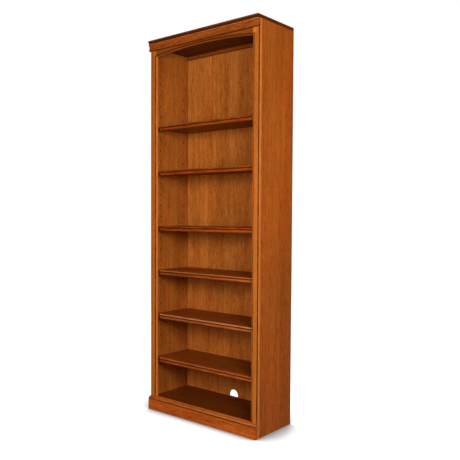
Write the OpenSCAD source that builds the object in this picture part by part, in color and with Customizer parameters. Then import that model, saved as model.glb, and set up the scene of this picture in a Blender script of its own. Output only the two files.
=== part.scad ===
// Tall open bookcase: oak case with a face frame, crown and base mouldings,
// an arched top rail and six loose shelves held on push-in angle clips.
// +Z is up, the front faces -Y, and the origin is the middle of the footprint
// on the floor.

/* [Case] */
// Overall height
case_h = 2134; // [1900:1:2300]
// Overall width
case_w = 775; // [600:1:1000]
// Depth from the face frame's front to the back of the side panels
case_d = 305; // [280:1:400]
// Thickness of the side panels
side_t = 19; // [16:1:25]
// Thickness of the fixed bottom shelf
floor_t = 19; // [16:1:25]
// Thickness of the case top between the side panels
subtop_t = 19; // [16:1:25]
// Thickness of the back panel
back_t = 6; // [4:0.5:9]
// Width of the rebate that takes the back panel
rebate_w = 8; // [6:1:12]

/* [Face frame] */
// Thickness of the stiles and rails
frame_t = 17; // [15:1:22]
// Width of each stile
stile_w = 44; // [35:1:60]
// Height of the arch's springing line below the top of the frame
arch_drop = 76; // [70:1:110]
// Rise of the arch at mid-span
arch_rise = 22; // [10:1:30]
// Width of the moulded edge on stiles and arched rail
edge_w = 9; // [6:1:12]
// Step down from the face to the moulded edge's bead
quirk = 2; // [1:0.5:3]

/* [Crown and base] */
// Thickness of the cap board
cap_t = 18; // [16:1:22]
// How far the cap board overhangs the face frame
cap_reach = 22; // [15:1:35]
// Height of the crown moulding under the cap
crown_h = 41; // [35:1:55]
// How far the crown moulding's top lip projects
crown_reach = 19; // [14:1:24]
// Height of the base board
base_h = 75; // [60:1:110]
// Thickness of the base board
base_t = 18; // [14:1:22]

/* [Shelves] */
// Thickness of a shelf board
shelf_t = 14; // [12:1:20]
// Height of a shelf's moulded nosing
nosing_h = 28; // [24:1:34]
// Thickness of a shelf's nosing, front to back
nosing_t = 14; // [10:1:20]
// How far each end of a nosing stops short of the frame's opening
nosing_relief = 11.5; // [1:0.5:20]
// Gap between a shelf's front and the face frame
shelf_setback = 2; // [1:0.5:4]
// Gap between a shelf and the side panel at each end
shelf_end_gap = 2.2; // [2:0.1:4]
// Gap between a shelf and the back panel
shelf_back_gap = 3; // [2:0.5:8]

/* [Clip holes] */
// Distance between clip holes up a column
hole_pitch = 64; // [32:32:64]
// Height of the lowest clip hole
first_hole = 297; // [200:1:400]
// Number of holes in a column
hole_count = 26; // [10:1:26]
// Diameter of a clip hole
hole_d = 6.4; // [5:0.1:7]
// Depth of a clip hole
hole_depth = 11; // [8:0.5:14]
// Front column, measured back from the face frame's front
front_column = 63; // [50:1:90]
// Rear column, measured back from the face frame's front
rear_column = 259; // [200:1:270]

/* [Cable cut-out] */
// Width of the cut-out in the back panel
cable_w = 60; // [40:1:90]
// Height of the cut-out above the bottom shelf
cable_h = 40; // [30:1:60]
// Sideways place of the cut-out's middle
cable_x = 0; // [-200:1:200]

/* [Hidden] */
front_y = -(case_d - cap_reach) / 2;
back_y = front_y + case_d;
frame_back_y = front_y + frame_t;
panel_y = back_y - back_t;
inner_x = case_w / 2 - side_t;
opening_x = case_w / 2 - stile_w;
cap_z = case_h - cap_t;
subtop_z = cap_z - subtop_t;
floor_top = base_h + 1;
floor_z = floor_top - floor_t;
spring_z = cap_z - arch_drop;

// Moulded edge of the frame: a bead at the corner and a groove beside it
edge_bead = 0.22 * edge_w;
edge_groove = edge_w / 2 - edge_bead;
round_steps = 8;
crown_z = cap_z - crown_h;

// Arch circle through both springing points and the crown of the arch
arch_r = (opening_x * opening_x + arch_rise * arch_rise) / (2 * arch_rise);
arch_centre_z = spring_z + arch_rise - arch_r;

// Bottom rail, rear nailer and glue blocks
rail_foot = 20;
nailer = 18;
block = 24;
block_len = 70;
block_places = [-250, 0, 250];

// Shelves, counted from the top: index of the clip hole that carries each one
shelf_hole = [21, 17, 12, 8, 4, 0];
shelf_top_above_hole = 7;
shelf_front_y = frame_back_y + shelf_setback;
shelf_back_y = panel_y - shelf_back_gap;
shelf_x = inner_x - shelf_end_gap;
board_front_y = shelf_front_y + nosing_t;
nosing_len = 2 * (opening_x - nosing_relief);

// Angle clip: peg, upright leg against the side panel, flange under the shelf
clip_t = 1.5;
clip_w = 11;
flange_len = 14;
flange_gap = 0.3;
peg_d = hole_d - 0.2;
peg_len = 9;

// Dowels and nails
dowel_d = 8;
dowel_len = 36;
dowel_fit = 0.2;
dowel_in_side = 12;
dowel_in_stile = 16;
frame_dowel_len = 40;
case_dowel_y = [front_y + 50, front_y + 155, front_y + 260];
top_rail_dowel_z = [spring_z + 22, spring_z + 56];
bottom_rail_dowel_z = [rail_foot + 16, rail_foot + 40];
nail_d = 1.8;
nail_len = 20;
nail_head_d = 4;
nail_head_t = 1;
nail_fit = 0.3;
side_nail_count = 8;
cross_nail_x = [-240, -80, 80, 240];
nail_x = inner_x + rebate_w / 2;
floor_nail_z = floor_z + floor_t / 2;
subtop_nail_z = subtop_z + subtop_t / 2;

$fn = 48;
arch_fn = 720;
nail_fn = 16;
past = 1;

function hole_z(i) = first_hole + i * hole_pitch;
function shelf_top(n) = hole_z(shelf_hole[n - 1]) + shelf_top_above_hole;

// Points on an arc, from angle a0 to a1 about a centre
function arc(centre, r, a0, a1, steps = round_steps) = [
  for (i = [0:steps])
    let (a = a0 + (a1 - a0) * i / steps)
      [centre[0] + r * cos(a), centre[1] + r * sin(a)]
];

// A box given by its two opposite corners
module block_between(low, high) {
  translate(low)
    cube(high - low);
}

// A cylinder along X that starts at a point
module rod_x(at, d, len) {
  translate(at)
    rotate([0, 90, 0])
      cylinder(d = d, h = len);
}

// A cylinder along Y that starts at a point
module rod_y(at, d, len) {
  translate(at)
    rotate([-90, 0, 0])
      cylinder(d = d, h = len);
}

// A moulding along X: its outline is drawn as [out from y0, up from z0]
module moulding(len, y0, z0, outline) {
  translate([-len / 2, y0, z0])
    rotate([90, 0, 90])
      linear_extrude(height = len)
        polygon([for (p = outline) [-p[0], p[1]]]);
}

module mirrored_x() {
  children();
  mirror([1, 0, 0])
    children();
}

module case_dowel_set(d, extra) {
  for (y = case_dowel_y, z = [floor_z + floor_t / 2, subtop_z + subtop_t / 2])
    rod_x([inner_x + dowel_in_side - dowel_len - extra, y, z], d, dowel_len + 2 * extra);
}

module frame_dowel_set(d, extra) {
  for (z = concat(top_rail_dowel_z, bottom_rail_dowel_z))
    rod_x(
      [opening_x + dowel_in_stile - frame_dowel_len - extra, front_y + frame_t / 2 + 1, z],
      d, frame_dowel_len + 2 * extra
    );
}

// Nails through the back panel, with their heads flush behind
module nail_set(grow) {
  side_step = (cap_z - 200) / (side_nail_count - 1);
  side_places = [
    for (s = [-1, 1], i = [0:side_nail_count - 1]) [s * nail_x, 100 + i * side_step]
  ];
  cross_places = [for (x = cross_nail_x, z = [floor_nail_z, subtop_nail_z]) [x, z]];
  for (p = concat(side_places, cross_places)) {
    rod_y([p[0], back_y - nail_len - grow, p[1]], nail_d + grow, nail_len + grow, $fn = nail_fn);
    rod_y(
      [p[0], back_y - nail_head_t, p[1]],
      nail_head_d + grow, nail_head_t + grow, $fn = nail_fn
    );
  }
}

module right_side_panel() {
  difference() {
    block_between([inner_x, frame_back_y, 0], [case_w / 2, back_y, cap_z]);
    block_between(
      [inner_x - past, panel_y, -past],
      [inner_x + rebate_w, back_y + past, cap_z + past]
    );
    for (y = [front_column, rear_column], i = [0:hole_count - 1])
      rod_x([inner_x - past, front_y + y, hole_z(i)], hole_d, hole_depth + past);
    case_dowel_set(dowel_d + dowel_fit, 0.5);
    nail_set(nail_fit);
  }
}

// Moulded edge from the side of a board round to its face, as [in from the
// side, back from the face]
function edge_profile() = concat(
  arc([edge_bead, quirk + edge_bead], edge_bead, 180, 300),
  arc([edge_w - edge_groove, quirk], edge_groove, 160, 0),
  [[edge_w, 0]]
);

// Inner edge of a stile at u = 0, outer edge at u = stile_w, front face at v = 0
module stile_outline(inner_moulded, outer_moulded) {
  plain = [[0, 0]];
  near = inner_moulded ? edge_profile() : plain;
  far = outer_moulded ? edge_profile() : plain;
  polygon(concat(
    [[0, frame_t]],
    near,
    [for (i = [len(far) - 1:-1:0]) [stile_w - far[i][0], far[i][1]]],
    [[stile_w, frame_t]]
  ));
}

module stile_length(z0, z1, inner_moulded, outer_moulded) {
  translate([opening_x, front_y, z0])
    linear_extrude(height = z1 - z0)
      stile_outline(inner_moulded, outer_moulded);
}

// The moulded edges stop at the base board, the top rail and the crown
module right_stile() {
  rail_z = spring_z + edge_w;
  difference() {
    union() {
      stile_length(0, base_h, false, false);
      stile_length(base_h, rail_z, true, true);
      stile_length(rail_z, crown_z, false, true);
      stile_length(crown_z, cap_z, false, false);
    }
    frame_dowel_set(dowel_d + dowel_fit, 0.5);
  }
}

module side_right() {
  color("#9c5a2b")
    right_side_panel();
}

module side_left() {
  color("#9c5a2b")
    mirror([1, 0, 0])
      right_side_panel();
}

module stile_right() {
  color("#b8692f")
    right_stile();
}

module stile_left() {
  color("#b8692f")
    mirror([1, 0, 0])
      right_stile();
}

// The arch is one turned cut that carries the stiles' moulded edge round it
module arch_rail() {
  clear_r = arch_r - 2 * arch_rise;
  edge = edge_profile();
  cut = concat(
    [[clear_r, -past]],
    [[arch_r + edge_w, -past]],
    [for (i = [len(edge) - 1:-1:0]) [arch_r + edge[i][0], edge[i][1]]],
    [[arch_r, frame_t + past], [clear_r, frame_t + past]]
  );
  color("#b8692f")
    difference() {
      block_between([-opening_x, front_y, spring_z], [opening_x, frame_back_y, cap_z]);
      translate([0, front_y, arch_centre_z])
        rotate([-90, 0, 0])
          rotate_extrude($fn = arch_fn)
            polygon(cut);
      mirrored_x()
        frame_dowel_set(dowel_d + dowel_fit, 0.5);
    }
}

module bottom_rail() {
  color("#b8692f")
    difference() {
      block_between([-opening_x, front_y, rail_foot], [opening_x, frame_back_y, floor_top]);
      mirrored_x()
        frame_dowel_set(dowel_d + dowel_fit, 0.5);
    }
}

module floor_board() {
  color("#7d3f1d")
    difference() {
      block_between([-inner_x, frame_back_y, floor_z], [inner_x, panel_y, floor_top]);
      mirrored_x()
        case_dowel_set(dowel_d + dowel_fit, 0.5);
      nail_set(nail_fit);
    }
}

module subtop() {
  color("#7d3f1d")
    difference() {
      block_between([-inner_x, frame_back_y, subtop_z], [inner_x, panel_y, cap_z]);
      mirrored_x()
        case_dowel_set(dowel_d + dowel_fit, 0.5);
      nail_set(nail_fit);
    }
}

// Cap board with a round-nosed front edge over a shallow cove
module cap_board() {
  nose_r = 5;
  cove_r = 4;
  outline = concat(
    [[-case_d, cap_t], [cap_reach - nose_r, cap_t]],
    arc([cap_reach - nose_r, cap_t - nose_r], nose_r, 80, -80),
    [[cap_reach - 3, cap_t - 2 * nose_r - 1]],
    arc([cap_reach - 3, cove_r - 0.5], cove_r - 0.5, 100, 180),
    [[cap_reach - 6.5, 0], [-case_d, 0]]
  );
  color("#b06a35")
    moulding(case_w, front_y, cap_z, outline);
}

// Crown: a lip, a long cove and a bead at the foot
module crown_moulding() {
  lip = 5;
  lip_r = lip / 2;
  bead_r = 5.5;
  bead_out = 9;
  cove_out = 9;
  cove_run = crown_reach - 2 - cove_out;
  cove_rise = crown_h - lip - 2 * bead_r - 4;
  cove_foot = 2 * bead_r + 1.5;
  outline = concat(
    [[0, crown_h], [crown_reach - 6, crown_h], [crown_reach - 4, crown_h - 1.5]],
    [[crown_reach - lip_r, crown_h - 1.5]],
    arc([crown_reach - lip_r, crown_h - 1.5 - lip_r], lip_r, 80, -80),
    [
      for (i = [0:round_steps])
        let (a = 90 * i / round_steps)
          [
            cove_out + cove_run * (1 - sin(a)),
            cove_foot + cove_rise * cos(a)
          ]
    ],
    [[cove_out, 2 * bead_r]],
    arc([bead_out, bead_r], bead_r, 80, -80),
    [[bead_out - 3, 0], [0, 0]]
  );
  color("#b8692f")
    moulding(case_w, front_y, crown_z, outline);
}

// Base board: flat face, quirk, and a round-over up to its top edge
module base_board() {
  top_h = 13;
  quirk_in = 2;
  round_run = 8;
  outline = concat(
    [[0, 0], [base_t - 1, 0], [base_t, 1], [base_t, base_h - top_h - 1.5]],
    [[base_t - 1.5, base_h - top_h]],
    [
      for (i = [0:round_steps])
        let (a = 90 * i / round_steps)
          [
            base_t - quirk_in - round_run * (1 - cos(a)),
            base_h - top_h + (top_h - 2) * sin(a)
          ]
    ],
    [[base_t - quirk_in - round_run - 2, base_h], [0, base_h]]
  );
  color("#b8692f")
    moulding(case_w, front_y, 0, outline);
}

// Back panel with a half-round cable cut-out just above the bottom shelf
module back_panel() {
  edge = inner_x + rebate_w - 0.5;
  color("#a8602d")
    difference() {
      block_between([-edge, panel_y, 12], [edge, back_y, cap_z]);
      rod_y([cable_x, panel_y - past, floor_top + cable_h - cable_w / 2], cable_w,
        back_t + 2 * past);
      block_between(
        [cable_x - cable_w / 2, panel_y - past, floor_top],
        [cable_x + cable_w / 2, back_y + past, floor_top + cable_h - cable_w / 2]
      );
      nail_set(nail_fit);
    }
}

module rear_nailer() {
  color("#8a4a22")
    block_between(
      [-inner_x, panel_y - nailer, subtop_z - nailer],
      [inner_x, panel_y, subtop_z]
    );
}

// Triangular blocks in the corner under the bottom shelf, behind the bottom rail
module glue_blocks() {
  color("#c08a55")
    for (x = block_places)
      translate([x - block_len / 2, frame_back_y, floor_z])
        rotate([90, 0, 90])
          linear_extrude(height = block_len)
            polygon([[0, 0], [block, 0], [0, -block]]);
}

module case_dowels() {
  color("#d0a878")
    mirrored_x()
      case_dowel_set(dowel_d, 0);
}

module frame_dowels() {
  color("#d0a878")
    mirrored_x()
      frame_dowel_set(dowel_d, 0);
}

module back_nails() {
  color("#8c8c88")
    nail_set(0);
}

module shelf_board(n) {
  color("#7d3f1d")
    block_between(
      [-shelf_x, board_front_y, shelf_top(n) - shelf_t],
      [shelf_x, shelf_back_y, shelf_top(n)]
    );
}

// Nosing: a bead level with the board, a cove, and a larger bead below it
module shelf_nosing(n) {
  bead_r = 3.5;
  cove_h = 6;
  cove_in = 4;
  low_r = (nosing_h - 2 * bead_r - cove_h) / 2;
  outline = concat(
    [[0, nosing_h]],
    arc([nosing_t - bead_r, nosing_h - bead_r], bead_r, 90, -60),
    [
      for (i = [1:round_steps - 1])
        let (a = 180 * i / round_steps)
          [
            nosing_t - bead_r / 2 - cove_in * sin(a),
            nosing_h - 2 * bead_r - cove_h * i / round_steps
          ]
    ],
    [
      for (i = [0:round_steps])
        let (a = 60 - 150 * i / round_steps)
          [nosing_t - low_r * 0.7 * (1 - cos(a)), low_r + low_r * sin(a)]
    ],
    [[0, 0]]
  );
  color("#a05a2a")
    moulding(nosing_len, board_front_y, shelf_top(n) - nosing_h, outline);
}

module clip() {
  rod_x([0, 0, 0], peg_d, peg_len);
  intersection() {
    union() {
      rod_x([-clip_t, 0, 0], clip_w, clip_t);
      block_between([-clip_t, -clip_w / 2, -clip_w], [0, clip_w / 2, 0]);
    }
    block_between(
      [-clip_t, -clip_w / 2, shelf_top_above_hole - shelf_t - flange_gap - clip_t],
      [0, clip_w / 2, clip_w]
    );
  }
  block_between(
    [-flange_len, -clip_w / 2, shelf_top_above_hole - shelf_t - flange_gap - clip_t],
    [0, clip_w / 2, shelf_top_above_hole - shelf_t - flange_gap]
  );
}

module shelf_clips(n) {
  color("#6b5536")
    mirrored_x()
      for (y = [front_column, rear_column])
        translate([inner_x, front_y + y, hole_z(shelf_hole[n - 1])])
          clip();
}

module shelf_1_board() { shelf_board(1); }
module shelf_2_board() { shelf_board(2); }
module shelf_3_board() { shelf_board(3); }
module shelf_4_board() { shelf_board(4); }
module shelf_5_board() { shelf_board(5); }
module shelf_6_board() { shelf_board(6); }

module shelf_1_nosing() { shelf_nosing(1); }
module shelf_2_nosing() { shelf_nosing(2); }
module shelf_3_nosing() { shelf_nosing(3); }
module shelf_4_nosing() { shelf_nosing(4); }
module shelf_5_nosing() { shelf_nosing(5); }
module shelf_6_nosing() { shelf_nosing(6); }

module shelf_1_clips() { shelf_clips(1); }
module shelf_2_clips() { shelf_clips(2); }
module shelf_3_clips() { shelf_clips(3); }
module shelf_4_clips() { shelf_clips(4); }
module shelf_5_clips() { shelf_clips(5); }
module shelf_6_clips() { shelf_clips(6); }

side_left();
side_right();
floor_board();
subtop();
cap_board();
back_panel();
rear_nailer();
stile_left();
stile_right();
arch_rail();
bottom_rail();
crown_moulding();
base_board();
glue_blocks();
case_dowels();
frame_dowels();
back_nails();
shelf_1_board();
shelf_2_board();
shelf_3_board();
shelf_4_board();
shelf_5_board();
shelf_6_board();
shelf_1_nosing();
shelf_2_nosing();
shelf_3_nosing();
shelf_4_nosing();
shelf_5_nosing();
shelf_6_nosing();
shelf_1_clips();
shelf_2_clips();
shelf_3_clips();
shelf_4_clips();
shelf_5_clips();
shelf_6_clips();
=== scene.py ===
"""Tall open oak bookcase: moulded face frame, crown and base, arched top rail and
six loose shelves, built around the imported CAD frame. Metres, +Z up, front to -Y."""

import math
import random

import bmesh
import bpy
from mathutils import Matrix, Vector


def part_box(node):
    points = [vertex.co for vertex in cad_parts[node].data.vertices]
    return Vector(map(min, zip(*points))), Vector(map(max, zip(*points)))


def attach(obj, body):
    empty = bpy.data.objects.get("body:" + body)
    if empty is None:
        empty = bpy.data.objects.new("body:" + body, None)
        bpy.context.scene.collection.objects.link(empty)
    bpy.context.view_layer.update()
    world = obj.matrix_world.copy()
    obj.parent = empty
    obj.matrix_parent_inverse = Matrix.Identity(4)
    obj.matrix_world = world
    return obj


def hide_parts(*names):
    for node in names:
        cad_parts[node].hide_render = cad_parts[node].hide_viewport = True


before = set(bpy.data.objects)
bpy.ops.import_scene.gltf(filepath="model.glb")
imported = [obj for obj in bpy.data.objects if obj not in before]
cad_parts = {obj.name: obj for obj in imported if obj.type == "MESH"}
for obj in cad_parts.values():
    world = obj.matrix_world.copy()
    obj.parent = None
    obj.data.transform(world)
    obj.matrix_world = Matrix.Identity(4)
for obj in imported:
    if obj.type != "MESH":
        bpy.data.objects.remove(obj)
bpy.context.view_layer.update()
MM = 0.001

# Places and sizes from the CAD
side_low, side_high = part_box("side_right")
stile_low, stile_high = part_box("stile_right")
rail_low, rail_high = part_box("arch_rail")
crown_low, crown_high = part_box("crown_moulding")
cap_low, cap_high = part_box("cap_board")
base_low, base_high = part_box("base_board")
floor_low, floor_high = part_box("floor_board")
foot_low, foot_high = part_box("bottom_rail")
subtop_low, subtop_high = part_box("subtop")
panel_low, panel_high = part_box("back_panel")
nailer_low, nailer_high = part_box("rear_nailer")
INNER_X, OUTER_X = side_low.x, side_high.x
OPENING_X = stile_low.x
FRONT_Y, FRAME_BACK_Y = stile_low.y, stile_high.y
BACK_Y, PANEL_Y = side_high.y, panel_low.y
CAP_Z, CROWN_Z = side_high.z, crown_low.z
SPRING_Z, BASE_Z = rail_low.z, base_high.z
STILE_W = stile_high.x - stile_low.x
FRAME_T = FRAME_BACK_Y - FRONT_Y

# Detail sizes that the drawing gives and a box doesn't
ARCH_RISE = 22 * MM
EDGE_W = 9 * MM
QUIRK = 2 * MM
EDGE_BEAD = 0.22 * EDGE_W
EDGE_GROOVE = EDGE_W / 2 - EDGE_BEAD
REBATE_W = 8 * MM
HOLE_PITCH = 64 * MM
HOLE_COUNT = 26
HOLE_D = 6.4 * MM
HOLE_DEPTH = 11 * MM
HOLE_EASE = 0.5 * MM
FIRST_HOLE = 297 * MM
FRONT_COLUMN = FRONT_Y + 63 * MM
REAR_COLUMN = FRONT_Y + 259 * MM
CLIP_T = 1.5 * MM
CLIP_HALF_W = 5.5 * MM
CABLE_W = 60 * MM
CABLE_H = 40 * MM
SHELVES = range(1, 7)
# How much each shelf's nosing bead is lightened: stain rubbed off and a painted highlight
# whose strength differs from shelf to shelf
WEAR_AND_HIGHLIGHT = {1: 0.05, 2: 0.0, 3: 0.0, 4: 0.35, 5: 0.85, 6: 0.3}


# ---------------------------------------------------------------- materials

# Oak by where it is used, in linear colour: dark streak, body, light streak
FRAME_OAK = ((0.47, 0.111, 0.0118), (0.627, 0.169, 0.0196), (0.739, 0.229, 0.032))
CROWN_OAK = ((0.251, 0.049, 0.004), (0.346, 0.078, 0.0072), (0.423, 0.108, 0.0127))
# Painted shade: the arch rail's oak is darker for the shadow the crown casts on it
SHADED_ARCH_OAK = ((0.219, 0.043, 0.0048), (0.302, 0.068, 0.0086), (0.37, 0.094, 0.0154))
CAP_OAK = ((0.13, 0.022, 0.002), (0.179, 0.036, 0.0036), (0.219, 0.05, 0.0063))
BASE_OAK = ((0.329, 0.058, 0.0048), (0.454, 0.092, 0.0086), (0.556, 0.128, 0.0151))
PANEL_OAK = ((0.34, 0.065, 0.0059), (0.454, 0.098, 0.0102), (0.544, 0.131, 0.017))
# Painted shade: the nailer's oak is the sides' oak darkened for the shade under the top
SHADED_NAILER_OAK = ((0.193, 0.039, 0.0042), (0.257, 0.059, 0.0072), (0.308, 0.079, 0.012))
BACK_OAK = ((0.33, 0.089, 0.0116), (0.44, 0.133, 0.0199), (0.528, 0.179, 0.033))
# Painted shade: the left side's oak is darker, for the shade inside the case
SHADED_LEFT_OAK = ((0.292, 0.075, 0.0085), (0.389, 0.112, 0.0144), (0.466, 0.151, 0.024))
SHELF_OAK = ((0.178, 0.031, 0.0026), (0.246, 0.046, 0.0038), (0.306, 0.064, 0.0068))
# Painted shade: the top's underside is a darker copy of the shelves' oak
SHADED_CEILING_OAK = ((0.068, 0.0116, 0.001), (0.094, 0.0174, 0.0014), (0.116, 0.024, 0.0026))
# Painted shade: the floor board is a darker copy of the shelves' oak, for the lowest bay
SHADED_FLOOR_OAK = ((0.116, 0.0198, 0.0017), (0.16, 0.03, 0.0025), (0.198, 0.041, 0.0044))
NOSE_OAK = ((0.182, 0.027, 0.0014), (0.273, 0.045, 0.0025), (0.373, 0.072, 0.0064))
# End grain takes more stain; this is painted darker still, as the shade inside holes
HOLE_OAK = ((0.02, 0.006, 0.002), (0.03, 0.009, 0.003), (0.045, 0.014, 0.005))
BARE_OAK = ((0.42, 0.27, 0.14), (0.52, 0.35, 0.19), (0.6, 0.43, 0.25))
# A piece's tone attribute runs from -1, where stain has settled in a groove and shade is
# painted in, through 0 to 1, where stain is rubbed off an edge and a highlight is painted on
GROOVE_STAIN_AND_SHADE = (0.070, 0.0150, 0.0020, 1)
EASED_EDGE_AND_HIGHLIGHT = (0.640, 0.240, 0.0850, 1)
# Tints multiplied in where the wood runs cooler or warmer
OLIVE = (0.88, 0.99, 0.94, 1)
RUSSET = (1.08, 0.98, 0.90, 1)
AXES = "XYZ"
# Light from the floor that the camera sees, and from the plane that lights the case
FLOOR_GLOW = 1.0
BOUNCE_GLOW = 0.15
# The floor next to what stands on it: how far the painted contact shadow reaches, and its colours
CONTACT_SHADOW_REACH = 0.26
CONTACT_SHADOW_BASE = (0.05, 0.05, 0.05, 1)
CONTACT_SHADOW_GLOW = (0.20, 0.205, 0.21, 1)
STAGE_HALF = 30.0


class Graph:
    """Short hand for building one material's nodes."""

    def __init__(self, name):
        self.material = bpy.data.materials.new(name)
        self.material.use_nodes = True
        self.tree = self.material.node_tree
        self.tree.nodes.clear()
        self.coordinates = self.add("ShaderNodeTexCoord").outputs["Object"]
        self.shader = self.add("ShaderNodeBsdfPrincipled")
        output = self.add("ShaderNodeOutputMaterial")
        self.tree.links.new(self.shader.outputs["BSDF"], output.inputs["Surface"])

    def add(self, kind, **properties):
        node = self.tree.nodes.new(kind)
        for name, value in properties.items():
            setattr(node, name, value)
        return node

    def put(self, socket, value):
        if isinstance(value, bpy.types.NodeSocket):
            self.tree.links.new(value, socket)
        else:
            socket.default_value = value

    def mapping(self, location=(0, 0, 0), rotation=(0, 0, 0), scale=(1, 1, 1)):
        node = self.add("ShaderNodeMapping")
        self.put(node.inputs["Vector"], self.coordinates)
        node.inputs["Location"].default_value = location
        node.inputs["Rotation"].default_value = rotation
        node.inputs["Scale"].default_value = scale
        return node.outputs["Vector"]

    def noise(self, vector, detail=2.0, roughness=0.5, distortion=0.0):
        node = self.add("ShaderNodeTexNoise")
        self.put(node.inputs["Vector"], vector)
        node.inputs["Scale"].default_value = 1.0
        node.inputs["Detail"].default_value = detail
        node.inputs["Roughness"].default_value = roughness
        node.inputs["Distortion"].default_value = distortion
        return node.outputs[0]

    def math(self, operation, a, b=0.0, clamp=False):
        node = self.add("ShaderNodeMath", operation=operation, use_clamp=clamp)
        self.put(node.inputs[0], a)
        self.put(node.inputs[1], b)
        return node.outputs[0]

    def spread(self, value, low, high, out_low=0.0, out_high=1.0):
        node = self.add("ShaderNodeMapRange")
        self.put(node.inputs["Value"], value)
        for name, number in (
            ("From Min", low), ("From Max", high), ("To Min", out_low), ("To Max", out_high)
        ):
            node.inputs[name].default_value = number
        return node.outputs["Result"]

    def mix(self, factor, a, b, blend="MIX"):
        node = self.add("ShaderNodeMix", data_type="RGBA", blend_type=blend)
        self.put(node.inputs[0], factor)
        self.put(node.inputs[6], a)
        self.put(node.inputs[7], b)
        return node.outputs[2]

    def ramp(self, factor, stops):
        node = self.add("ShaderNodeValToRGB")
        elements = node.color_ramp.elements
        while len(elements) < len(stops):
            elements.new(0.5)
        for element, (place, colour) in zip(elements, stops):
            element.position = place
            element.color = (*colour, 1)
        self.put(node.inputs["Fac"], factor)
        return node.outputs["Color"]

    def bump(self, height, distance, strength):
        node = self.add("ShaderNodeBump")
        node.inputs["Strength"].default_value = strength
        node.inputs["Distance"].default_value = distance
        self.put(node.inputs["Height"], height)
        self.put(self.shader.inputs["Normal"], node.outputs["Normal"])


def oak_rings(g, rng, along, sawn):
    """A faint flat-sawn figure: rings round a heart line that leans a little."""
    lane = AXES.index(along)
    tilt = [0.0, 0.0, 0.0]
    tilt[(lane + 1) % 3] = rng.choice((-1, 1)) * rng.uniform(0.015, 0.035)
    heart = [0.0, 0.0, 0.0]
    for i in range(3):
        if i != lane:
            heart[i] = rng.uniform(-0.12, 0.12) + (0.11 if AXES[i] == sawn else 0.0)
    stretch = [0.14 if i == lane else 1.0 for i in range(3)]
    rings = g.add("ShaderNodeTexWave", wave_type="RINGS", rings_direction=along)
    g.put(rings.inputs["Vector"], g.mapping(heart, tilt, stretch))
    rings.inputs["Scale"].default_value = 15.0
    rings.inputs["Distortion"].default_value = 7.0
    rings.inputs["Detail"].default_value = 3.0
    rings.inputs["Detail Scale"].default_value = 1.6
    return rings.outputs["Fac"]


def flitch_warmth(g, rng, warmth, axis, width, seed):
    """Adds a step in warmth from one veneer flitch to the next."""
    split = g.add("ShaderNodeSeparateXYZ")
    g.put(split.inputs[0], g.coordinates)
    place = g.math("DIVIDE", split.outputs[axis], width)
    number = g.math("FLOOR", g.math("ADD", place, rng.uniform(0, 1)))
    chance = g.add("ShaderNodeTexWhiteNoise", noise_dimensions="1D")
    g.put(chance.inputs["W"], g.math("ADD", number, seed))
    return g.math("ADD", g.math("MULTIPLY", warmth, 0.4),
                  g.math("MULTIPLY", chance.outputs["Value"], 0.6))


def oak(name, colours, along="Z", seed=0, gloss=0.42, contrast=1.0, sawn="Y", flitch=0.0):
    """Stained oak: long soft streaks, flecks and a faint flat-sawn figure, satin finish.
    A veneered panel also changes tone from one flitch, this wide, to the next."""
    rng = random.Random(seed)
    g = Graph(name)
    lane = AXES.index(along)
    cross = next(i for i in range(3) if i != lane and AXES[i] != sawn)
    shift = [rng.uniform(-9, 9) for _ in AXES]

    def layer(across, lengthwise, **how):
        """Noise with this many features a metre across the grain and along it."""
        scale = [lengthwise if i == lane else across for i in range(3)]
        return g.noise(g.mapping(shift, (0, 0, 0), scale), **how)

    broad = layer(6.0, 1.0, detail=2.0, distortion=0.4)
    streak = layer(34.0, 1.4, detail=4.0, roughness=0.62, distortion=0.25)
    fine = layer(170.0, 15.0, detail=4.0, roughness=0.7)
    fleck = layer(230.0, 62.0, detail=3.0, roughness=0.75)
    pore = layer(1300.0, 42.0, detail=1.0)
    rings = oak_rings(g, rng, along, sawn)
    total = 0.5
    for value, share in (
        (broad, 0.40), (streak, 0.75), (rings, 0.05), (fine, 1.25), (fleck, 1.1)
    ):
        centred = g.math("SUBTRACT", value, 0.5)
        total = g.math("ADD", g.math("MULTIPLY", centred, share * contrast), total)
    dark, body, light = colours
    deep = tuple(0.72 * c for c in dark)
    pale = tuple(1.12 * c for c in light)
    wood = g.ramp(
        total, ((0.1, deep), (0.25, dark), (0.5, body), (0.76, light), (0.9, pale))
    )
    warmth = layer(4.0, 1.6, detail=2.0)
    if flitch:
        warmth = flitch_warmth(g, rng, warmth, cross, flitch, seed)
    wood = g.mix(g.spread(warmth, 0.55, 0.30), wood, OLIVE, "MULTIPLY")
    wood = g.mix(g.spread(warmth, 0.50, 0.75), wood, RUSSET, "MULTIPLY")
    pores = g.spread(pore, 0.60, 0.72)
    wood = g.mix(g.math("MULTIPLY", pores, 0.30), wood, (*dark, 1), "MULTIPLY")
    blotch = g.spread(fine, 0.32, 0.62, 0.55, 1.25)
    # Tone paints stain and shade into grooves, and worn stain and a highlight onto edges
    tone = g.add("ShaderNodeAttribute", attribute_name="tone").outputs["Fac"]
    stain_and_shade = g.math("MULTIPLY", g.math("MULTIPLY", tone, -1.0), blotch, clamp=True)
    wear_and_highlight = g.math("MULTIPLY", tone, blotch, clamp=True)
    wood = g.mix(stain_and_shade, wood, GROOVE_STAIN_AND_SHADE)
    wood = g.mix(wear_and_highlight, wood, EASED_EDGE_AND_HIGHLIGHT)
    g.put(g.shader.inputs["Base Color"], wood)
    g.put(g.shader.inputs["Roughness"], g.spread(streak, 0.3, 0.7, gloss + 0.07, gloss - 0.03))
    g.shader.inputs["Specular IOR Level"].default_value = 0.09
    g.shader.inputs["Coat Weight"].default_value = 0.03
    g.shader.inputs["Coat Roughness"].default_value = 0.25
    height = g.math("SUBTRACT", g.math("MULTIPLY", fine, 0.5), g.math("MULTIPLY", pores, 0.6))
    g.bump(height, 0.0004, 0.35)
    return g.material


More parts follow.
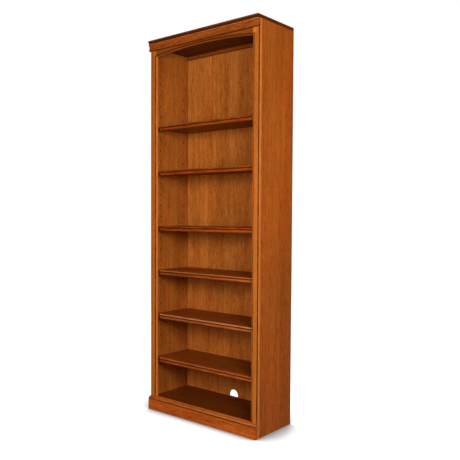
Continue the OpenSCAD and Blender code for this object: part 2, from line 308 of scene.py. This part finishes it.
def metal(name, colour, rough, seed):
    """Brushed or plated metal with faint stains."""
    g = Graph(name)
    shift = (seed, -seed, 2 * seed)
    stain = g.noise(g.mapping(shift, scale=(160, 160, 160)), detail=4.0)
    scratch = g.noise(g.mapping(shift, scale=(2500, 400, 400)), detail=2.0)
    lightened = tuple(min(1.0, c * 1.5) for c in colour)
    dull = tuple(c * 0.55 for c in colour)
    g.put(
        g.shader.inputs["Base Color"],
        g.ramp(stain, ((0.3, dull), (0.5, colour), (0.72, lightened))),
    )
    g.shader.inputs["Metallic"].default_value = 1.0
    g.put(g.shader.inputs["Roughness"], g.spread(scratch, 0.3, 0.7, rough - 0.08, rough + 0.1))
    g.bump(scratch, 0.0001, 0.3)
    return g.material


# ------------------------------------------------------------------- meshes


def add_object(name, data):
    obj = bpy.data.objects.new(name, data)
    bpy.context.scene.collection.objects.link(obj)
    return obj


def piece(name, bm, material, body, node, sharp=30.0, tones=None):
    """Turns a bmesh into a piece that stands for a CAD node and rides on a body."""
    bmesh.ops.recalc_face_normals(bm, faces=bm.faces)
    mesh = bpy.data.meshes.new(name)
    if tones is None:
        tones = [0.0] * len(bm.verts)
    bm.to_mesh(mesh)
    bm.free()
    attribute = mesh.attributes.new("tone", "FLOAT", "POINT")
    attribute.data.foreach_set("value", tones)
    mesh.shade_smooth()
    mesh.set_sharp_from_angle(angle=math.radians(sharp))
    for m in material if isinstance(material, (list, tuple)) else [material]:
        mesh.materials.append(m)
    obj = add_object(name, mesh)
    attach(obj, body)
    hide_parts(node)
    return obj


def arc(cx, cy, r, start, end, steps=10):
    """Points on an arc between two angles in degrees."""
    angles = [math.radians(start + (end - start) * i / steps) for i in range(steps + 1)]
    return [(cx + r * math.cos(a), cy + r * math.sin(a)) for a in angles]


def toned(points, tone):
    """Gives an outline's points one tone."""
    return [(x, y, tone) for x, y in points]


def add_solid(bm, rings):
    """Adds a closed solid through rings of the same number of (x, y, z) points."""
    layers = [[bm.verts.new(p) for p in ring] for ring in rings]
    count = len(rings[0])
    for a, b in zip(layers, layers[1:]):
        for i in range(count):
            j = (i + 1) % count
            bm.faces.new((a[i], a[j], b[j], b[i]))
    bm.faces.new(layers[0])
    bm.faces.new(reversed(layers[-1]))


def loft(rings):
    """A bmesh that is one closed solid through the rings."""
    bm = bmesh.new()
    add_solid(bm, rings)
    bm.verts.index_update()
    return bm


def drawn_in(value, middle, inset):
    """Moves a value towards the middle by the inset, but not past it."""
    gap = value - middle
    return value - math.copysign(min(inset, abs(gap)), gap)


def moulding(name, outline, x0, x1, y0, z0, material, body, node, ease=0.4 * MM):
    """A moulding along X; its outline is (out from y0, up from z0, tone)."""
    columns = [x0, x0 + ease, x1 - ease, x1]
    middle_out = sum(p[0] for p in outline) / len(outline)
    middle_up = sum(p[1] for p in outline) / len(outline)
    rings = []
    for x in columns:
        inset = ease if x in (x0, x1) else 0.0
        rings.append([
            (x, y0 - drawn_in(out, middle_out, inset), z0 + drawn_in(up, middle_up, inset))
            for out, up, _ in outline
        ])
    tones = [tone for _ in columns for _, _, tone in outline]
    return piece(name, loft(rings), material, body, node, tones=tones)


def board(name, low, high, material, body, node, ease=0.8 * MM, edge_tone=0.35):
    """A board with eased edges, lighter with thinly sanded stain and a painted highlight."""
    bm = board_mesh(low, high, ease)
    tones = board_tones(bm, low, high, ease, edge_tone)
    return piece(name, bm, material, body, node, tones=tones)


def board_mesh(low, high, ease):
    """A bmesh box with rounded edges and a border inside each flat."""
    bm = bmesh.new()
    bmesh.ops.create_cube(bm, size=1.0)
    for v in bm.verts:
        v.co = [
            (low[i] + high[i]) / 2 + v.co[i] * (high[i] - low[i]) for i in range(3)
        ]
    bmesh.ops.bevel(
        bm, geom=bm.edges[:], offset=ease, segments=3, profile=0.5, affect="EDGES",
        clamp_overlap=True,
    )
    flats = sorted(bm.faces, key=lambda f: -f.calc_area())[:6]
    bmesh.ops.inset_individual(bm, faces=flats, thickness=1.5 * ease, use_even_offset=True)
    bm.verts.index_update()
    return bm


def board_tones(bm, low, high, ease, edge_tone):
    """Tone 0 on the flats and edge_tone on the eased edges."""
    tones = []
    for v in bm.verts:
        near = sum(
            1 for i in range(3) if min(v.co[i] - low[i], high[i] - v.co[i]) < 2.2 * ease
        )
        tones.append(edge_tone if near > 1 else 0.0)
    return tones


def cut(obj, bm):
    """Cuts a bmesh out of a piece; the new faces get end-grain oak painted dark as the
    shade inside the hole.
    """
    bmesh.ops.recalc_face_normals(bm, faces=bm.faces)
    mesh = bpy.data.meshes.new("cutter")
    bm.to_mesh(mesh)
    bm.free()
    mesh.materials.append(END_GRAIN_AND_SHADE)
    cutter = add_object("cutter", mesh)
    modifier = obj.modifiers.new("cut", "BOOLEAN")
    modifier.object = cutter
    modifier.operation = "DIFFERENCE"
    modifier.solver = "EXACT"
    modifier.material_mode = "TRANSFER"
    bpy.context.view_layer.update()
    result = bpy.data.meshes.new_from_object(
        obj.evaluated_get(bpy.context.evaluated_depsgraph_get())
    )
    obj.modifiers.clear()
    old = obj.data
    obj.data = result
    result.name = obj.name
    bpy.data.objects.remove(cutter)
    bpy.data.meshes.remove(old)
    obj.data.set_sharp_from_angle(angle=math.radians(30))


def turned(bm, points, at, direction, steps=20):
    """Adds a solid of revolution; its points are (radius, distance along)."""
    turn = Vector(direction).to_track_quat("Z", "Y").to_matrix()
    rings = []
    for radius, distance in points:
        circle = [math.tau * i / steps for i in range(steps)]
        rings.append([
            Vector(at) + turn @ Vector((radius * math.cos(a), radius * math.sin(a), distance))
            for a in circle
        ])
    add_solid(bm, rings)


def mirror_points(points, side):
    """Points for the right side, or their mirror image for the left."""
    return [(side * x, y, z) for x, y, z in points]


# -------------------------------------------------------------- the case

# End grain, painted near black as the shade inside the holes and the cut-out
END_GRAIN_AND_SHADE = oak("hole_wall_oak", HOLE_OAK, along="X", seed=90, gloss=0.7)


def clip_holes(side):
    """The blind holes of one side, each with an eased mouth and a drill's cone."""
    radius, mouth = HOLE_D / 2, HOLE_D / 2 + HOLE_EASE
    profile = [
        (mouth + HOLE_EASE, -HOLE_EASE), (mouth, 0.0), (radius, HOLE_EASE),
        (radius, HOLE_DEPTH - 1 * MM), (0.3 * MM, HOLE_DEPTH),
    ]
    holes = bmesh.new()
    for y in (FRONT_COLUMN, REAR_COLUMN):
        for i in range(HOLE_COUNT):
            place = (side * INNER_X, y, FIRST_HOLE + i * HOLE_PITCH)
            turned(holes, profile, place, (side, 0, 0))
    return holes


def side_panel(name, side, seed, colours, flitch):
    """A side with the rebate for the back and two columns of clip holes. Painted shade
    darkens its rear edges, the rebate's corner and the edge by the frame, over the width
    of the shade band."""
    ease, corner, shade_band = 0.8 * MM, 3 * MM, 6 * MM
    outline = [
        (INNER_X, FRAME_BACK_Y, 0.0), (OUTER_X - ease, FRAME_BACK_Y, 0.0),
        (OUTER_X, FRAME_BACK_Y + ease, -0.3), (OUTER_X, FRAME_BACK_Y + corner, 0.0),
        (OUTER_X, BACK_Y - shade_band, 0.0), (OUTER_X, BACK_Y - shade_band / 2, -0.6),
        (OUTER_X, BACK_Y - ease, -0.8), (OUTER_X - ease, BACK_Y, -0.8),
        (OUTER_X - shade_band, BACK_Y, 0.0), (INNER_X + REBATE_W, BACK_Y, 0.0),
        (INNER_X + REBATE_W, PANEL_Y, 0.0), (INNER_X + 2 * ease, PANEL_Y, -1.0),
        (INNER_X, PANEL_Y - 2 * ease, -1.0), (INNER_X, PANEL_Y - corner, -0.5),
        (INNER_X, PANEL_Y - shade_band, 0.0),
    ]
    rings = [
        mirror_points([(x, y, z) for x, y, _ in outline], side)
        for z in (side_low.z, side_high.z)
    ]
    tones = [tone for _ in rings for _, _, tone in outline]
    wood = oak(name + "_oak", colours, seed=seed, sawn="X", flitch=flitch)
    node = "side_right" if side > 0 else "side_left"
    obj = piece(
        name, loft(rings), [wood, END_GRAIN_AND_SHADE], "case", node, tones=tones
    )
    cut(obj, clip_holes(side))
    # The cut leaves stray tones on the flat between the edges
    tone = obj.data.attributes["tone"].data
    for v in obj.data.vertices:
        if FRAME_BACK_Y + corner < v.co.y < PANEL_Y - 1.05 * shade_band:
            tone[v.index].value = 0.0
    return obj


def edge_profile(moulded):
    """From a board's side round to its face: (in from side, back from face, tone)."""
    bead = arc(EDGE_BEAD, QUIRK + EDGE_BEAD, EDGE_BEAD, 180, 300, 8)
    groove = arc(EDGE_W - EDGE_GROOVE, QUIRK, EDGE_GROOVE, 160, 0, 10)
    # The bead carries a painted highlight falling to painted shade towards the groove; the groove is
    # dark with stain and painted shade
    bead_top, bead_fall = 0.4, 0.12
    count = len(bead) + len(groove) + 2
    if moulded:
        return (
            [(u, v, bead_top - bead_fall * i) for i, (u, v) in enumerate(bead)]
            + toned(groove, -1.0)
            + [(EDGE_W, 0.25 * MM, -0.8), (EDGE_W + 0.4 * MM, 0.0, -0.3)]
        )
    ease = 0.5 * MM
    corner = arc(ease, ease, ease, 180, 270, 6)
    rest = [
        (ease + (EDGE_W - ease) * (i + 1) / (count - len(corner)), 0.0)
        for i in range(count - len(corner))
    ]
    # The plain edge's eased corner is lighter: worn stain and a painted highlight
    return toned(corner, 0.2) + toned(rest, 0.0)


def stile_ring(z, inner, outer):
    """A stile's section at a height, and its tones; each edge is moulded or plain."""
    near = edge_profile(inner)
    far = edge_profile(outer)
    outline = [(0.0, FRAME_T, 0.0)] + near
    outline += [(STILE_W - u, v, t) for u, v, t in reversed(far)]
    outline += [(STILE_W, FRAME_T, 0.0)]
    return [(OPENING_X + u, FRONT_Y + v, z) for u, v, _ in outline], [t for _, _, t in outline]


def stile(name, side, seed):
    """A stile whose moulded edges stop at the base, the top rail and the crown."""
    step = 0.5 * MM
    rail_z = SPRING_Z + EDGE_W
    levels = [
        (stile_low.z, False, False), (BASE_Z - step, False, False), (BASE_Z, True, True),
        (rail_z, True, True), (rail_z + step, False, True), (CROWN_Z - step, False, True),
        (CROWN_Z, False, False), (stile_high.z, False, False),
    ]
    rings, tones = [], []
    for z, inner, outer in levels:
        ring, ring_tones = stile_ring(z, inner, outer)
        rings.append(mirror_points(ring, side))
        tones += ring_tones
    wood = oak(name + "_oak", FRAME_OAK, seed=seed)
    node = "stile_right" if side > 0 else "stile_left"
    return piece(name, loft(rings), wood, "case", node, tones=tones)


def arched_rail():
    """The top rail; the stiles' moulded edge runs round the arch."""
    gap = 0.25 * MM
    half = OPENING_X - gap
    radius = (OPENING_X ** 2 + ARCH_RISE ** 2) / (2 * ARCH_RISE)
    centre_z = SPRING_Z + ARCH_RISE - radius
    reach = math.asin(OPENING_X / radius)
    edge = edge_profile(True)
    top = CAP_Z - 0.1 * MM
    columns = 96
    rings, tones = [], []
    for i in range(columns + 1):
        angle = -reach + 2 * reach * i / columns
        ring = []
        for u, v, tone in [(0.0, FRAME_T, 0.0)] + edge:
            x = max(-half, min(half, (radius + u) * math.sin(angle)))
            ring.append((x, FRONT_Y + v, centre_z + (radius + u) * math.cos(angle)))
            tones.append(tone)
        x = max(-half, min(half, radius * math.sin(angle)))
        ring += [(x, FRONT_Y, top), (x, FRAME_BACK_Y, top)]
        tones += [0.0, 0.0]
        rings.append(ring)
    # Its oak is painted darker as the crown's shadow
    wood = oak("arch_rail_oak", SHADED_ARCH_OAK, along="X", seed=12)
    return piece(
        "arch_rail_moulded", loft(rings), wood, "case", "arch_rail", tones=tones
    )


def crown_outline():
    """From the top out: a lip, a cove and a bead, with dark stain and painted shade between
    and under them, and painted highlights on the lip and the bead's top.
    """
    height = crown_high.z - crown_low.z
    reach = FRONT_Y - crown_low.y
    lip_r, bead_r, bead_out, foot = 2.5 * MM, 5.5 * MM, 9 * MM, 12.5 * MM
    cove_run = reach - 2 * MM - bead_out
    cove_rise = height - 2 * lip_r - 2 * bead_r - 4 * MM
    cove = [
        (
            bead_out + cove_run * (1 - math.sin(math.radians(a))),
            foot + cove_rise * math.cos(math.radians(a)),
        )
        for a in range(0, 91, 6)
    ]
    return (
        [(0.0, height, 0.0), (reach - 6 * MM, height, -1.0)]
        + [(reach - 4 * MM, height - 1.5 * MM, -1.0)]
        + toned(arc(reach - lip_r, height - 1.5 * MM - lip_r, lip_r, 80, -60), 0.35)
        + [(cove[0][0], cove[0][1], -0.3)]
        + toned(cove[1:], 0.0)
        + [(bead_out, 2 * bead_r, -0.35)]
        + toned(arc(bead_out, bead_r, bead_r, 80, 0), 0.15)
        + toned(arc(bead_out, bead_r, bead_r, -15, -70, 5), -0.35)
        + [(bead_out - 3 * MM, 0.0, -1.0), (0.0, 0.0, -1.0)]
    )


def cap_outline():
    """A rounded nose over a small cove. Painted shade darkens the top and bottom of the
    nose and the cove.
    """
    height = cap_high.z - cap_low.z
    reach = FRONT_Y - cap_low.y
    nose_r, cove_r = 5 * MM, 3.5 * MM
    back = FRONT_Y - cap_high.y
    nose = arc(reach - nose_r, height - nose_r, nose_r, 90, -80)
    return (
        [(back, height, 0.0), (reach - nose_r - 3 * MM, height, 0.0)]
        + toned(nose[:4], -0.8)
        + toned(nose[4:8], 0.0)
        + toned(nose[8:], -0.8)
        + [(reach - 3 * MM, height - 2 * nose_r - 1 * MM, -1.0)]
        + toned(arc(reach - 3 * MM, cove_r, cove_r, 100, 180), -1.0)
        + [(reach - 6.5 * MM, 0.0, -1.0), (back, 0.0, 0.0)]
    )


def base_outline():
    """A plain face with a rounded top edge behind a quirk. The quirk and the foot of the
    round are dark with stain and painted shade, the round has a painted highlight, and the
    bottom edge at the floor has painted shade.
    """
    height = base_high.z - base_low.z
    thick = FRONT_Y - base_low.y
    top_h, quirk_in, run = 13 * MM, 2 * MM, 8 * MM
    rounded = [
        (
            thick - quirk_in - run * (1 - math.cos(math.radians(a))),
            height - top_h + (top_h - 2 * MM) * math.sin(math.radians(a)),
        )
        for a in range(0, 91, 9)
    ]
    return (
        [(0.0, 0.0, 0.0), (thick - 1 * MM, 0.0, -0.4), (thick - 0.3 * MM, 0.3 * MM, -0.2)]
        + [(thick, 1 * MM, 0.0), (thick, 6 * MM, 0.0)]
        + [(thick, height - top_h - 3 * MM, 0.0), (thick, height - top_h - 2 * MM, 0.2)]
        + [(thick - 0.6 * MM, height - top_h - 1 * MM, -1.0)]
        + [(thick - 2.5 * MM, height - top_h - 0.4 * MM, -1.0)]
        + toned(rounded[:3], -0.9)
        + toned(rounded[3:], 0.25)
        + [(thick - quirk_in - run - 2 * MM, height, 0.0), (0.0, height, -0.2)]
    )


def nosing_outline(low, high, lightened):
    """A bead level with the shelf, a cove, and a larger bead below it. The upper bead's
    tone is passed in: stain rubbed off it and a painted highlight on it. The cove is dark
    with stain and painted shade, the lower bead has a weaker painted highlight and painted
    shade under it."""
    height, thick = high.z - low.z, high.y - low.y
    bead_r, cove_h, cove_in = 3.5 * MM, 6 * MM, 4 * MM
    low_r = (height - 2 * bead_r - cove_h) / 2
    cove = [
        (
            thick - bead_r / 2 - cove_in * math.sin(math.radians(180 * i / 12)),
            height - 2 * bead_r - cove_h * i / 12,
        )
        for i in range(1, 12)
    ]
    flatness = 0.7
    turns = [math.radians(60 - 150 * i / 12) for i in range(13)]
    lower = [
        (thick - low_r * flatness * (1 - math.cos(a)), low_r + low_r * math.sin(a))
        for a in turns
    ]
    return (
        [(0.0, height, 0.0)]
        + toned(arc(thick - bead_r, height - bead_r, bead_r, 90, -60), lightened)
        + toned(cove, -0.9)
        + toned(lower[:7], 0.3 * lightened)
        + toned(lower[7:], -0.5)
        + [(0.0, 0.0, -0.2)]
    )


def back_board():
    """The back panel with its half-round cable cut-out."""
    low, high = panel_low, panel_high
    wood = oak("back_panel_oak", BACK_OAK, seed=31, contrast=1.25, flitch=0.142)
    obj = board("back_board", low, high, [wood, END_GRAIN_AND_SHADE], "case", "back_panel",
                ease=0.5 * MM)
    floor_top = floor_high.z
    radius = CABLE_W / 2
    spring = floor_top + CABLE_H - radius
    foot, past = floor_top - 0.2 * MM, 5 * MM
    outline = [(radius, foot)] + arc(0.0, spring, radius, 0, 180, 40) + [(-radius, foot)]
    rings = [[(x, y, z) for x, z in outline] for y in (low.y - past, high.y + past)]
    cut(obj, loft(rings))
    return obj


def clip_section(top, under):
    """The bent strip from its top to its flange and back: (out from the panel, height)."""
    bend, flange = 1.2 * MM, 14 * MM
    centre = -CLIP_T - bend
    return (
        [(-CLIP_T, top), (-CLIP_T, under + bend)]
        + arc(centre, under + bend, bend, -15, -90, 5)
        + [(-flange, under), (-flange, under - CLIP_T), (centre, under - CLIP_T)]
        + arc(centre, under + bend, bend + CLIP_T, -75, 0, 5)
        + [(0.0, top)]
    )


def add_clip(bm, side, y, z, under):
    """Adds one angle clip: a peg at y, z, and a strip whose flange is at a height."""
    peg = [(3.1 * MM, -0.2 * MM), (3.1 * MM, 8 * MM), (2.4 * MM, 9 * MM)]
    turned(bm, peg, (side * INNER_X, y, z), (side, 0, 0))
    section = clip_section(z + CLIP_HALF_W, under)
    ease, shrink = 0.4 * MM, 0.25 * MM
    rings = []
    for offset, narrow in (
        (-CLIP_HALF_W, shrink), (-CLIP_HALF_W + ease, 0.0),
        (CLIP_HALF_W - ease, 0.0), (CLIP_HALF_W, shrink),
    ):
        rings.append([
            (side * (INNER_X + x + (narrow if x < -CLIP_T else -0.3 * narrow)), y + offset, h)
            for x, h in section
        ])
    add_solid(bm, rings)


side_panel("side_panel_right", 1, 3, PANEL_OAK, 0.0)
# The left side is painted darker as shade inside the case
side_panel("side_panel_left", -1, 6, SHADED_LEFT_OAK, 0.118)
stile("stile_moulded_right", 1, 8)
stile("stile_moulded_left", -1, 9)
arched_rail()
back_board()
crown_oak = oak("crown_oak", CROWN_OAK, along="X", seed=14, contrast=1.6)
cap_oak = oak("cap_oak", CAP_OAK, along="X", seed=15)
base_oak = oak("base_oak", BASE_OAK, along="X", seed=16, contrast=1.4)
moulding("crown_profiled", crown_outline(), crown_low.x, crown_high.x, FRONT_Y, crown_low.z,
         crown_oak, "case", "crown_moulding")
moulding("cap_profiled", cap_outline(), cap_low.x, cap_high.x, FRONT_Y, cap_low.z,
         cap_oak, "case", "cap_board")
moulding("base_profiled", base_outline(), base_low.x, base_high.x, FRONT_Y, base_low.z,
         base_oak, "case", "base_board")
# The floor board's oak carries painted shade
board("floor_eased", floor_low, floor_high, oak("floor_oak", SHADED_FLOOR_OAK, along="X", seed=18),
      "case", "floor_board")
board("foot_rail_eased", foot_low, foot_high, oak("foot_oak", FRAME_OAK, along="X", seed=19),
      "case", "bottom_rail", edge_tone=0.1)
# The subtop's oak carries painted shade
board("subtop_eased", subtop_low, subtop_high, oak("subtop_oak", SHADED_CEILING_OAK, along="X", seed=20),
      "case", "subtop")
# The nailer's oak carries painted shade
board("nailer_eased", nailer_low, nailer_high, oak("nailer_oak", SHADED_NAILER_OAK, along="X", seed=21),
      "case", "rear_nailer", edge_tone=0.0)

clip_metal = metal("bronzed_clip", (0.16, 0.085, 0.045), 0.42, 4)
for n in SHELVES:
    body = f"shelf_{n}"
    low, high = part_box(f"shelf_{n}_board")
    board(f"shelf_{n}_eased", low, high,
          oak(f"shelf_{n}_oak", SHELF_OAK, along="X", seed=40 + n), body,
          f"shelf_{n}_board")
    low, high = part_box(f"shelf_{n}_nosing")
    moulding(f"shelf_{n}_profiled", nosing_outline(low, high, WEAR_AND_HIGHLIGHT[n]), low.x, high.x, high.y, low.z,
             oak(f"nosing_{n}_oak", NOSE_OAK, along="X", seed=60 + n, contrast=1.8), body,
             f"shelf_{n}_nosing")
    low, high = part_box(f"shelf_{n}_clips")
    clips = bmesh.new()
    for side in (-1, 1):
        for y in (FRONT_COLUMN, REAR_COLUMN):
            add_clip(clips, side, y, high.z - CLIP_HALF_W, low.z + CLIP_T)
    piece(f"shelf_{n}_angle_clips", clips, clip_metal, "case", f"shelf_{n}_clips")

# Hidden pieces keep their CAD shape
bare = oak("bare_oak", BARE_OAK, along="X", seed=70, gloss=0.6)
steel = metal("nail_steel", (0.42, 0.42, 0.41), 0.4, 7)
for node, material in (
    ("glue_blocks", bare), ("case_dowels", bare), ("frame_dowels", bare), ("back_nails", steel)
):
    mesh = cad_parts[node].data
    mesh.materials.clear()
    mesh.materials.append(material)


# ------------------------------------------------------- floor, light, camera


def stage_plane(name, material, height):
    """A wide level plane that belongs to the studio, not to the bookcase."""
    bm = bmesh.new()
    bmesh.ops.create_grid(bm, x_segments=8, y_segments=8, size=STAGE_HALF)
    for v in bm.verts:
        v.co.z = height
    mesh = bpy.data.meshes.new(name)
    bm.to_mesh(mesh)
    bm.free()
    mesh.materials.append(material)
    obj = add_object(name, mesh)
    return obj


def studio_floor():
    """A pale floor, overexposed as in a catalogue picture, with a contact shadow painted
    close to what stands on it, and under it the plane that throws the room's weak bounce light."""
    g = Graph("studio_floor")
    tone = g.noise(g.mapping(scale=(3, 3, 3)), detail=3.0)
    pale = g.ramp(tone, ((0.3, (0.90, 0.90, 0.90)), (0.7, (0.93, 0.93, 0.93))))
    contact_shadow = g.add("ShaderNodeAmbientOcclusion", samples=16)
    contact_shadow.inputs["Distance"].default_value = CONTACT_SHADOW_REACH
    near = g.spread(contact_shadow.outputs["AO"], 0.5, 1.0)
    g.put(g.shader.inputs["Base Color"], g.mix(near, CONTACT_SHADOW_BASE, pale))
    g.put(g.shader.inputs["Emission Color"], g.mix(near, CONTACT_SHADOW_GLOW, (1, 1, 1, 1)))
    g.shader.inputs["Emission Strength"].default_value = FLOOR_GLOW
    g.shader.inputs["Roughness"].default_value = 0.9
    g.shader.inputs["Specular IOR Level"].default_value = 0.1
    seen = stage_plane("studio_floor", g.material, 0.0)
    seen.visible_diffuse = False
    seen.visible_glossy = False
    g = Graph("studio_bounce")
    tone = g.noise(g.mapping(scale=(2, 2, 2)), detail=2.0)
    g.put(
        g.shader.inputs["Base Color"],
        g.ramp(tone, ((0.3, (0.88, 0.88, 0.88)), (0.7, (0.92, 0.92, 0.92)))),
    )
    g.shader.inputs["Emission Color"].default_value = (1, 1, 1, 1)
    g.shader.inputs["Emission Strength"].default_value = BOUNCE_GLOW
    g.shader.inputs["Roughness"].default_value = 0.9
    bounce = stage_plane("studio_bounce", g.material, -1 * MM)
    bounce.visible_camera = False
    bounce.visible_shadow = False


def area_light(name, place, target, size, watts, colour):
    data = bpy.data.lights.new(name, "AREA")
    data.shape = "DISK"
    data.size = size
    data.energy = watts
    data.color = colour
    light = add_object(name, data)
    light.location = place
    light.rotation_euler = (Vector(target) - Vector(place)).to_track_quat("-Z", "Y").to_euler()


studio_floor()
world = bpy.data.worlds.new("studio")
world.use_nodes = True
backdrop = world.node_tree.nodes["Background"]
backdrop.inputs["Color"].default_value = (1, 1, 1, 1)
backdrop.inputs["Strength"].default_value = 1.0
# White behind the bookcase, but no light from it on the wood
world.cycles_visibility.diffuse = False
world.cycles_visibility.glossy = False
bpy.context.scene.world = world
# Soft lamps: name, degrees round from the front, height, distance, strength at the
# bookcase, colour. Power grows with distance squared, so moving one keeps its strength
LAMP_AIM = (0.0, 0.0, 1.1)
LAMP_SIZE = 0.9
for lamp, turn, height, distance, strength, colour in (
    ("key", 54, 1.6, 2.8, 0.62, (1.0, 1.0, 1.0)),
    ("front_fill", 10, 1.6, 2.8, 0.456, (1.0, 0.90, 0.80)),
    ("side_fill", 75, 3.0, 4.2, 0.186, (1.0, 1.0, 1.0)),
    ("low_fill", 5, 0.5, 4.2, 0.121, (1.0, 0.85, 0.70)),
    ("rear_fill", 200, 3.6, 3.4, 0.75, (1.0, 1.0, 1.0)),
):
    bearing = math.radians(turn)
    place = (distance * math.sin(bearing), -distance * math.cos(bearing), height)
    watts = strength * (math.pi * distance) ** 2
    area_light(lamp, place, LAMP_AIM, LAMP_SIZE, watts, colour)

scene = bpy.context.scene
scene.view_settings.view_transform = "Standard"
# Place and turns in radians that give the photograph's view
CAMERA_PLACE = (2.1774, -2.6306, 1.1411)
CAMERA_PAN, CAMERA_TILT, CAMERA_ROLL = 0.7067, -0.0379, 0.0038
lens = bpy.data.cameras.new("camera")
lens.sensor_width = 36.0
lens.lens = 47.73
lens.shift_x = 0.0479
lens.shift_y = 0.0163
lens.clip_end = 100.0
camera = add_object("camera", lens)
camera.matrix_world = (
    Matrix.Translation(CAMERA_PLACE)
    @ Matrix.Rotation(CAMERA_PAN, 4, "Z")
    @ Matrix.Rotation(math.pi / 2 + CAMERA_TILT, 4, "X")
    @ Matrix.Rotation(CAMERA_ROLL, 4, "Z")
)
scene.camera = camera
